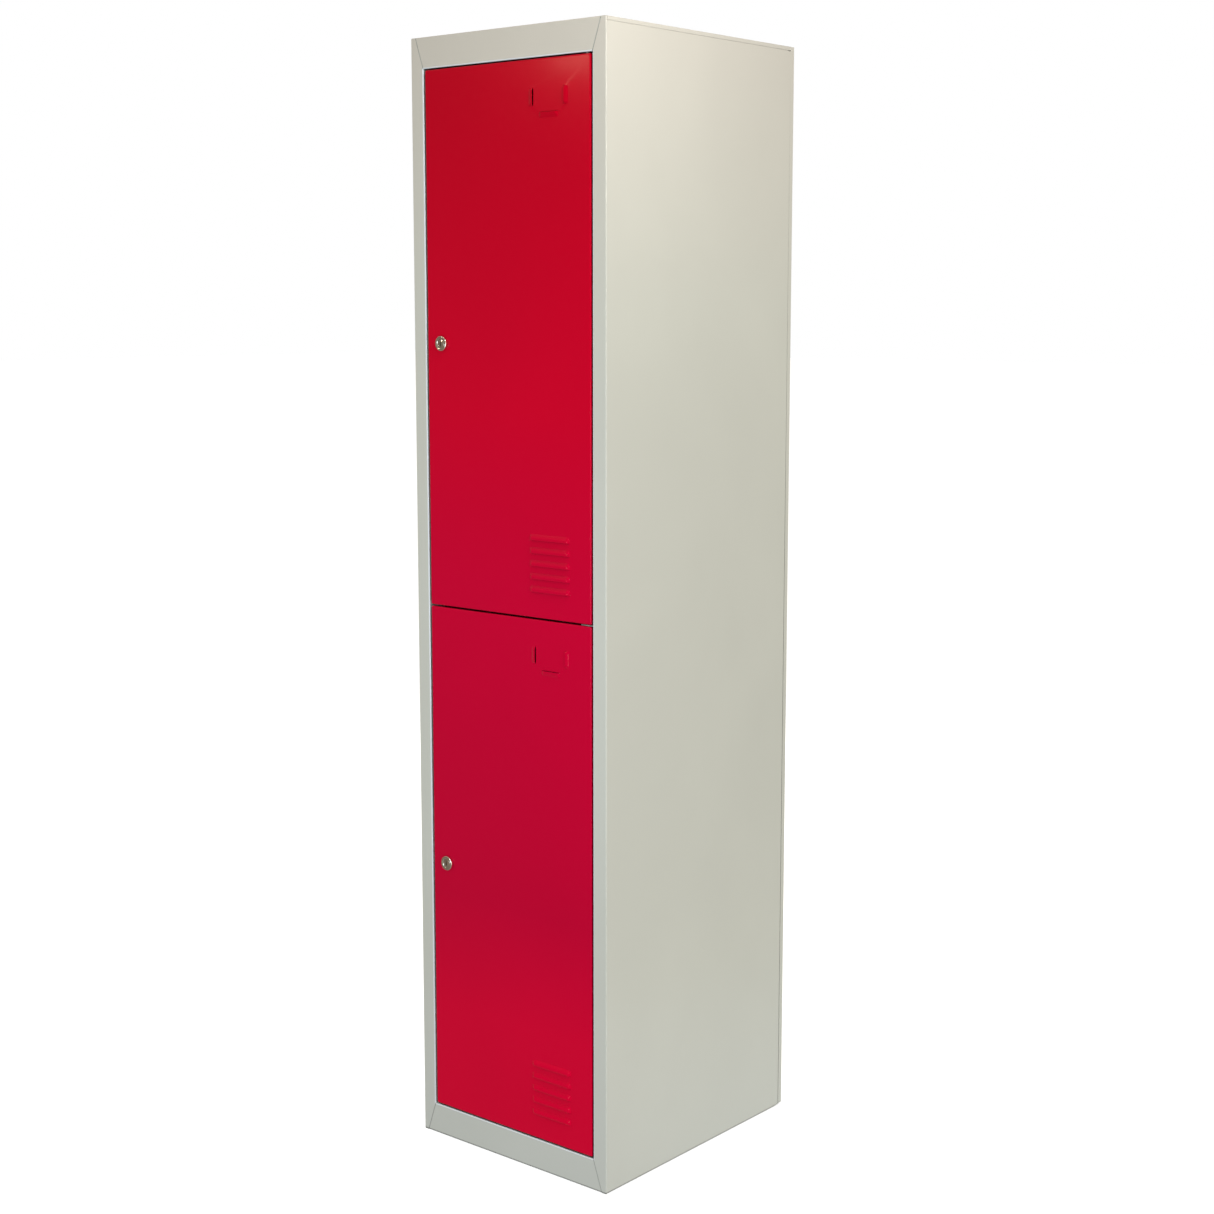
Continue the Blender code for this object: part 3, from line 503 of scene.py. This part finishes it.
def roof_seam(side):
    """Paint that fills the seam between the roof's fold and a side wall: side is -1 left, 1 right."""
    ends_y = (FRONT_Y + 3 * MM, cad_high.y - 10.6 * MM)
    section = [(-SEAM_HALF, 0.6), (-SEAM_HALF, 0.04), (0, 0.02), (SEAM_HALF, 0.04), (SEAM_HALF, 0.6)]
    bm = bmesh.new()
    profile = [(side * (cad_high.x - depth * MM), ROOF_SEAM + lift) for lift, depth in section]
    ends = add_strip(bm, [[Vector((x, y, z)) for x, z in profile] for y in ends_y])
    for end in ends:
        bm.faces.new(end)
    bm.faces.new((ends[0][0], ends[0][-1], ends[1][-1], ends[1][0]))
    bmesh.ops.recalc_face_normals(bm, faces=bm.faces)
    bead = add_object("left_roof_seam" if side < 0 else "right_roof_seam", bm)
    soften(bead, 0.05 * MM)
    finish_piece(bead, "body_paint")
    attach(bead, "cabinet")


# ---------------------------------------------------------------- doors

def hood_grid(box, free_side, rise, roll, slot, end, across, along):
    """A pressed hood over a window: rows from its hinged edge to its free edge, as (x, z, height).

    roll is how far it follows a half wave: 0.5 ends level, and more turns back down. slot is the width of the
    open strip past its free edge.
    """
    x0, x1, z0, z1 = box
    sideways = free_side in ("left", "right")
    length = (z1 - z0) if sideways else (x1 - x0)
    cover = 1 - slot / ((x1 - x0) if sideways else (z1 - z0))
    ends = [end * step / along for step in range(along + 1)]
    stations = ends + [length - value for value in reversed(ends)]
    rows = []
    for step in range(across + 1):
        share = cover * step / across
        lift = rise * math.sin(roll * math.pi * step / across)
        row = []
        for station in stations:
            edge = min(station, length - station) / end
            height = lift * math.sin(min(edge, 1) * math.pi / 2)
            if free_side == "down":
                spot = (x0 + station, z1 + (z0 - z1) * share)
            elif free_side == "up":
                spot = (x0 + station, z0 + (z1 - z0) * share)
            elif free_side == "right":
                spot = (x0 + (x1 - x0) * share, z0 + station)
            else:
                spot = (x1 + (x0 - x1) * share, z0 + station)
            row.append((*spot, height))
        rows.append(row)
    return rows


def hood_border(rows, slot, free_side):
    """The window's loop: down one end, along the hinged edge, up the other end and round the open slot."""
    loop = [row[0][:2] for row in reversed(rows)]
    loop += [point[:2] for point in rows[0][1:]]
    loop += [row[-1][:2] for row in rows[1:]]
    if slot > 0:
        across, up = {"left": (-slot, 0), "right": (slot, 0), "up": (0, slot), "down": (0, -slot)}[free_side]
        loop += [(x + across, z + up) for x, z in (loop[-1], loop[0])]
    return loop


def door_hoods(bottom, top):
    """The five louvres and the three card tabs of a door whose skin spans these heights."""
    hoods = []
    for index in range(LOUVRES):
        crown = bottom + 123.5 * MM - index * LOUVRE_PITCH
        box = (44 * MM, 121.5 * MM, crown - LOUVRE_HEIGHT, crown)
        hoods.append((box, "down", LOUVRE_RISE, LOUVRE_ROLL, 0, LOUVRE_END, *LOUVRE_GRID))
    tab_low = top - 66 * MM
    tab_high = top - 40 * MM
    left_box = (46 * MM, 54.5 * MM, tab_low, tab_high)
    right_box = (112 * MM, 120.5 * MM, tab_low, tab_high)
    bottom_box = (66 * MM, 102 * MM, top - 83 * MM, top - 74.5 * MM)
    tabs = ((left_box, "right", TAB_SLOT), (right_box, "left", TAB_SLOT), (bottom_box, "up", GAP))
    for box, free_side, slot in tabs:
        hoods.append((box, free_side, TAB_RISE, TAB_ROLL, slot, TAB_END, *TAB_GRID))
    return hoods


def pan_ring(half_width, inset, depth, bottom, top):
    """One loop of the door pan, as deep and as far inside its outline as asked."""
    radius = max(DOOR_CORNER - inset, 0.5 * MM)
    steps = 6
    half_x = half_width - inset - radius
    low_z = bottom + inset + radius
    high_z = top - inset - radius
    centres = [(half_x, high_z), (-half_x, high_z), (-half_x, low_z), (half_x, low_z)]
    ring = []
    for quarter, (cx, cz) in enumerate(centres):
        for step in range(steps + 1):
            angle = math.pi / 2 * (quarter + step / steps)
            x = cx + radius * math.cos(angle)
            z = cz + radius * math.sin(angle)
            ring.append(Vector((x, FRONT_Y + depth, z)))
    return ring


def door_skin(half_width, depth, bottom, top, lock):
    """The visible side of a door: flanged edges, front face, hoods and lock hole, in one sheet."""
    bm = bmesh.new()
    corners = [(DOOR_LIP, depth), (0, depth), (0, 0), (DOOR_BEND, 0)]
    section = rounded(corners, [DOOR_BEND, DOOR_BEND], 8)[:-1]
    rings = [pan_ring(half_width, p.x, p.y, bottom, top) for p in section]
    add_strip(bm, [ring + ring[:1] for ring in rings])

    loops = [[(v.x, v.z) for v in rings[-1]]]
    hole_r = BARREL_R + GAP
    loops.append(circle((lock.x, lock.z), hole_r, 48))
    hoods = []
    windows = []
    for hood in door_hoods(bottom, top):
        box, free_side, _, _, slot = hood[:5]
        rows = hood_grid(*hood)
        hoods.append(rows)
        windows.append(box)
        loops.append(hood_border(rows, slot, free_side))
    points = []
    edges = []
    for loop in loops:
        start = len(points)
        count = len(loop)
        points += [Vector(p) for p in loop]
        edges += [(start + i, start + (i + 1) % count) for i in range(count)]
    filled = delaunay_2d_cdt(points, edges, [], 1, 0.001 * MM)
    flat = [bm.verts.new((p.x, FRONT_Y, p.y)) for p in filled[0]]
    for face in filled[2]:
        centre = sum((filled[0][index] for index in face), Vector((0, 0))) / len(face)
        in_hole = (centre - Vector((lock.x, lock.z))).length < hole_r
        in_window = any(x0 < centre.x < x1 and z0 < centre.y < z1 for x0, x1, z0, z1 in windows)
        if not (in_hole or in_window):
            bm.faces.new([flat[index] for index in face])
    for rows in hoods:
        add_strip(bm, [[(x, FRONT_Y - h, z) for x, z, h in row] for row in rows])
    orient(bm, (0, -1, 0))
    return bm


def door_panel(tier):
    """A door pan finer than the CAD one, with the same edges, holes and hoods."""
    node = f"{tier}_door_panel"
    low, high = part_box(node)
    pivot = JOINTS[f"{tier}_door_hinge"]
    bm = door_skin(high.x, high.y - FRONT_Y, low.z, high.z, JOINTS[f"{tier}_lock_turn"])
    panel = add_object(f"{tier}_door", bm)
    thicken(panel, DOOR_SHEET)
    for z in (low.z, high.z):
        drill(panel, Vector((pivot.x, pivot.y, z)), BUSH_HOLE_R, 4 * MM)
    soften(panel, 0.18 * MM)
    finish_piece(panel, "door_paint")
    stand_in(panel, node, f"{tier}_door")


# ---------------------------------------------------------------- locks

def lock_barrel(tier, centre):
    """The lock's shell: a rolled bezel, a dished face round the plug and a threaded body."""
    front = -LOCK_PROUD
    crown = rounded([(8.6 * MM, front), (BEZEL_R, front), (BEZEL_R, -GAP)], [1.4 * MM], 8)
    bore_edge = [(BARREL_BORE, front + 2 * MM), (BARREL_BORE, front + 0.9 * MM), (8.6 * MM, front)]
    lip = rounded(bore_edge, [0.5 * MM], 4)
    face = [tuple(p) for p in lip[:-1] + crown]
    root = BARREL_R - THREAD_DEPTH
    thread_from = 2.4 * MM
    per_turn = 6
    rows = round((BARREL_END - thread_from) / THREAD_PITCH * per_turn)

    def section(angle):
        profile = [(BARREL_BORE, BARREL_END)] + face + [(BARREL_R, -GAP), (BARREL_R, thread_from)]
        for row in range(1, rows):
            depth = thread_from + (BARREL_END - thread_from) * row / rows
            phase = (depth / THREAD_PITCH - angle / math.tau) % 1
            profile.append((root + THREAD_DEPTH * (1 - abs(2 * phase - 1)), depth))
        profile.append((root, BARREL_END))
        return profile

    barrel = add_object(f"{tier}_barrel", turned(section, centre, 72))
    barrel.data.set_sharp_from_angle(angle=math.radians(50))
    finish_piece(barrel, "chrome")
    stand_in(barrel, f"{tier}_lock_barrel", f"{tier}_door")


def lock_plug(tier, centre):
    """The turning plug: a domed face with a warded keyway, and a square tail for the cam."""
    shoulder = BARREL_END + GAP
    dome = []
    for step in range(DOME_STEPS + 1):
        share = step / DOME_STEPS
        dome.append((max(PLUG_R * DOME_SHARE * share, 0.01 * MM), -PLUG_FACE - DOME * (1 - share ** 2)))
    edge = dome + rounded([dome[-1], (PLUG_R, -PLUG_FACE), (PLUG_R, shoulder)], [0.6 * MM], 6)[1:]
    tail = (SQUARE / 2) * math.sqrt(2) - 0.3 * MM
    tail_end = CAM_FRONT + CAM_THICK

    def section(angle):
        flat = SQUARE / 2 / max(abs(math.cos(angle)), abs(math.sin(angle)))
        reach = min(flat, tail)
        return [tuple(p) for p in edge] + [(reach, shoulder), (reach, tail_end), (0.01 * MM, tail_end)]

    plug = add_object(f"{tier}_plug", turned(section, centre, 64))
    ward = 0.75 * MM
    half = 4.3 * MM
    outline = [
        (-ward, half), (-ward, 1.2 * MM), (-1.3 * MM, 0.6 * MM), (-1.3 * MM, -0.6 * MM), (-ward, -1.2 * MM),
        (-ward, -half), (ward, -half), (ward, -2.4 * MM), (1.3 * MM, -1.8 * MM), (1.3 * MM, -1.0 * MM),
        (ward, -0.4 * MM), (ward, half),
    ]
    keyway = bmesh.new()
    ends = []
    for depth in (-PLUG_FACE - 2 * DOME, -PLUG_FACE + 6 * MM):
        ends.append([keyway.verts.new(centre + Vector((x, depth, z))) for x, z in outline])
        keyway.faces.new(ends[-1])
    for index in range(len(outline)):
        after = (index + 1) % len(outline)
        keyway.faces.new((ends[0][index], ends[0][after], ends[1][after], ends[1][index]))
    bmesh.ops.recalc_face_normals(keyway, faces=keyway.faces)
    cut(plug, keyway)
    soften(plug, 0.12 * MM)
    finish_piece(plug, "chrome")
    stand_in(plug, f"{tier}_lock_plug", f"{tier}_lock")


def hexagon(angle, flat_to_flat):
    """Distance from a hexagon's centre to its edge at an angle."""
    folded = (angle + math.pi / 6) % (math.pi / 3) - math.pi / 6
    return flat_to_flat / 2 / math.cos(math.pi / 6 - abs(folded))


def lock_nut(tier, centre):
    """The hexagon nut, chamfered at both faces."""
    node = f"{tier}_lock_nut"
    low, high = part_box(node)
    seat = low.y - centre.y
    far = high.y - centre.y
    bore = BARREL_R + GAP
    flats = high.z - low.z
    round_r = flats / 2 * 1.04

    def section(angle):
        corner = hexagon(angle, flats)
        face = min(corner, round_r) - 0.3 * MM
        chamfer = 0.3 * MM + (corner - min(corner, round_r)) * 0.5
        return [
            (bore, seat + 0.5 * MM), (bore + 0.5 * MM, seat), (face, seat), (corner, seat + chamfer),
            (corner, far - chamfer), (face, far), (bore + 0.5 * MM, far), (bore, far - 0.5 * MM),
        ]

    nut = add_object(f"{tier}_nut", turned(section, centre, 72))
    nut.data.set_sharp_from_angle(angle=math.radians(25))
    finish_piece(nut, "zinc")
    stand_in(nut, node, f"{tier}_door")


def lock_washer(tier, centre):
    """The washer behind the door skin, with its ring of sprung teeth."""
    node = f"{tier}_lock_washer"
    low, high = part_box(node)
    seat = low.y - centre.y
    thick = high.y - low.y
    tip = (high.x - low.x) / 2
    teeth = 14

    def section(angle):
        phase = (angle * teeth / math.tau) % 1
        out = tip if phase < 0.62 else tip - 1.6 * MM
        return [(BARREL_R + GAP, seat), (out, seat), (out, seat + thick), (BARREL_R + GAP, seat + thick)]

    washer = add_object(f"{tier}_washer", turned(section, centre, teeth * 12))
    washer.data.set_sharp_from_angle(angle=math.radians(30))
    finish_piece(washer, "zinc")
    stand_in(washer, node, f"{tier}_door")


def cam_screw(tier, centre):
    """The flanged hexagon screw that keeps the cam on the plug."""
    node = f"{tier}_cam_screw"
    low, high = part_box(node)
    seat = low.y - centre.y
    crown = high.y - centre.y
    flange = (high.x - low.x) / 2
    flats = 8.6 * MM

    def section(angle):
        corner = hexagon(angle, flats)
        top = min(corner, flats / 2 * 1.03) - 0.3 * MM
        return [
            (0.01 * MM, seat), (flange, seat), (flange, seat + 0.5 * MM),
            (flange - 0.5 * MM, seat + 0.9 * MM),
            (corner, seat + 1.1 * MM), (corner, crown - 0.5 * MM), (top, crown), (0.01 * MM, crown),
        ]

    screw = add_object(f"{tier}_screw", turned(section, centre, 60))
    screw.data.set_sharp_from_angle(angle=math.radians(28))
    finish_piece(screw, "zinc")
    stand_in(screw, node, f"{tier}_lock")


# ---------------------------------------------------------------- coat hooks

def coat_hook(tier):
    """A double hook bent from strip, with rounded edges and full-radius tips."""
    node = f"{tier}_coat_hook"
    low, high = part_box(node)
    thick = 2.5 * MM
    half_width = (high.y - low.y) / 2
    y_mid = (high.y + low.y) / 2
    foot = 16 * MM
    tip = high.x - thick
    bottom = low.z + thick
    tip_z = bottom + 18 * MM
    right = [(foot, high.z), (foot, bottom), (tip, bottom), (tip, tip_z)]
    corners = [(-x, z) for x, z in reversed(right)] + right
    path = rounded(corners, [8 * MM, 8 * MM, 4 * MM, 4 * MM, 8 * MM, 8 * MM], 10)
    tip_steps = [half_width * (1 - math.cos(math.pi / 2 * step / 6)) for step in range(1, 7)]
    first, last = ([end + Vector((0, -drop)) for drop in tip_steps] for end in (path[0], path[-1]))
    path = path[:1] + first + path[1:-1] + last[::-1] + path[-1:]
    rows = []
    for p in path:
        from_tip = tip_z - p.y
        at_tip = abs(abs(p.x) - tip) < 0.01 * MM and from_tip < half_width
        half = half_width
        if at_tip:
            half = math.sqrt(max(half_width ** 2 - (half_width - from_tip) ** 2, (0.6 * MM) ** 2))
        rows.append([(p.x, y_mid + half * share, p.y) for share in (-1, -0.5, 0, 0.5, 1)])
    bm = bmesh.new()
    add_strip(bm, rows)
    orient(bm, (0, 0, 1))
    hook = add_object(f"{tier}_hook", bm)
    thicken(hook, thick)
    soften(hook, 0.5 * MM, 3)
    finish_piece(hook, "zinc")
    stand_in(hook, node, "cabinet")


# ---------------------------------------------------------------- studio

def area_light(name, place, target, size, power, colour):
    """A soft rectangular light that faces a point and stays out of the picture itself."""
    data = bpy.data.lights.new(name, "AREA")
    data.shape = "RECTANGLE"
    data.size, data.size_y = size
    data.energy = power
    data.color = colour
    light = bpy.data.objects.new(name, data)
    light.location = place
    light.rotation_euler = (Vector(target) - Vector(place)).to_track_quat("-Z", "Y").to_euler()
    light.visible_camera = False
    bpy.context.scene.collection.objects.link(light)


def studio_world():
    """White behind the object, soft light from all round, and in reflections a room with one dark end."""
    world = bpy.data.worlds.new("studio")
    bpy.context.scene.world = world
    world.use_nodes = True
    world.cycles.sampling_method = "NONE"
    tree = world.node_tree
    tree.nodes.clear()
    way = add_node(tree, "ShaderNodeTexCoord", {}).outputs["Generated"]
    height = add_node(tree, "ShaderNodeSeparateXYZ", {"Vector": way}).outputs["Z"]
    level = spread(tree, height, 0.0, 1.0, -1.0, 1.0)
    soft_tones = [(0.0, (0.50, 0.53, 0.54)), (0.5, (0.55, 0.55, 0.53)), (1.0, (0.64, 0.60, 0.54))]
    soft = ramp(tree, level, soft_tones)
    room_tones = [(0.0, (0.25, 0.25, 0.23)), (0.5, (0.50, 0.48, 0.40)), (1.0, (0.40, 0.39, 0.35))]
    room = ramp(tree, level, room_tones)
    towards = add_node(tree, "ShaderNodeVectorMath", {0: way, 1: CARD_DIRECTION}, operation="DOT_PRODUCT")
    facing = calculate(tree, "DIVIDE", towards.outputs["Value"], Vector(CARD_DIRECTION).length)
    card_edge, card_core = (math.cos(math.radians(angle)) for angle in (CARD_EDGE, CARD_CORE))
    room = mix(tree, spread(tree, facing, 0.0, 1.0, card_edge, card_core), room, (0.20, 0.15, 0.12, 1))
    rays = add_node(tree, "ShaderNodeLightPath", {}).outputs
    light = mix(tree, rays["Is Glossy Ray"], soft, room)
    seen = mix(tree, rays["Is Camera Ray"], light, (1, 1, 1, 1))
    background = add_node(tree, "ShaderNodeBackground", {"Color": seen, "Strength": 1.0})
    add_node(tree, "ShaderNodeOutputWorld", {"Surface": background.outputs["Background"]})


def studio_floor():
    """A wide pale floor with a faint glow of its own, which lights nothing and stays out of reflections."""
    bm = bmesh.new()
    reach = 40.0
    corners = [(-reach, -reach), (reach, -reach), (reach, reach), (-reach, reach)]
    bm.faces.new([bm.verts.new((x, y, -0.0005)) for x, y in corners])
    floor = add_object("floor", bm)
    mat, tree, shader, place = blank_material("floor_paper", 0.0, (0.9, 0.9, 0.9))
    tone = ramp(tree, noise(tree, place, 3.0), [(0.3, (0.90, 0.90, 0.90)), (0.7, (0.92, 0.92, 0.92))])
    tree.links.new(tone, shader.inputs["Base Color"])
    shader.inputs["Roughness"].default_value = 0.9
    shader.inputs["Emission Color"].default_value = (1, 1, 1, 1)
    shader.inputs["Emission Strength"].default_value = FLOOR_GLOW
    floor.data.materials.append(mat)
    floor.visible_glossy = False
    floor.visible_diffuse = False


def studio_lights():
    """A key above the side wall, broad light on it, a strip along its front edge, fills and a small lamp."""
    area_light("key", (0.70, -0.42, 2.00), (0.19, -0.10, 1.60), (0.30, 0.30), 3.4, (0.985, 1.0, 0.98))
    area_light("side_fill", (3.50, -0.40, 1.00), (0.19, 0.0, 0.85), (3.0, 3.0), 33.5, (1.0, 0.99, 0.96))
    area_light("strip", (1.60, -0.75, 0.95), (0.17, -0.22, 0.90), (0.10, 1.70), 2.0, (1.0, 1.0, 1.0))
    area_light("bounce", (0.75, 0.15, 0.03), (0.19, 0.12, 0.10), (0.40, 0.20), 0.45, (0.92, 1.0, 1.0))
    area_light("front_fill", (0.40, -1.50, 0.80), (0.0, -0.22, 0.80), (0.7, 0.7), 7.5, (0.70, 0.85, 1.0))
    area_light("rear_fill", (-2.20, 2.40, 1.40), (0.0, 0.0, 0.85), (1.5, 1.5), 22, (1.0, 1.0, 0.97))
    area_light("lamp", (-1.19, -1.80, 2.01), (0.10, -0.22, 1.62), (0.17, 0.28), 1.9, (1.0, 0.86, 0.62))


def camera():
    """The photographer's place: right of the front, at shoulder height, looking slightly down."""
    data = bpy.data.cameras.new("camera")
    data.lens = 59.15
    data.sensor_width = 36
    data.shift_y = -0.02
    data.clip_end = 200
    cam = bpy.data.objects.new("camera", data)
    cam.location = CAMERA_PLACE
    cam.rotation_euler = (math.radians(90 - CAMERA_PITCH), 0, math.radians(CAMERA_HEADING))
    bpy.context.scene.collection.objects.link(cam)
    bpy.context.scene.camera = cam


# ---------------------------------------------------------------- assembly

FINISHES = make_finishes()
finish_cad_nodes()
for tier_name in TIERS:
    lock_centre = JOINTS[f"{tier_name}_lock_turn"]
    door_panel(tier_name)
    lock_barrel(tier_name, lock_centre)
    lock_plug(tier_name, lock_centre)
    lock_nut(tier_name, lock_centre)
    lock_washer(tier_name, lock_centre)
    cam_screw(tier_name, lock_centre)
    coat_hook(tier_name)
for side_sign in (-1, 1):
    roof_seam(side_sign)
camera()
studio_world()
studio_floor()
studio_lights()
bpy.context.scene.view_settings.view_transform = "Standard"
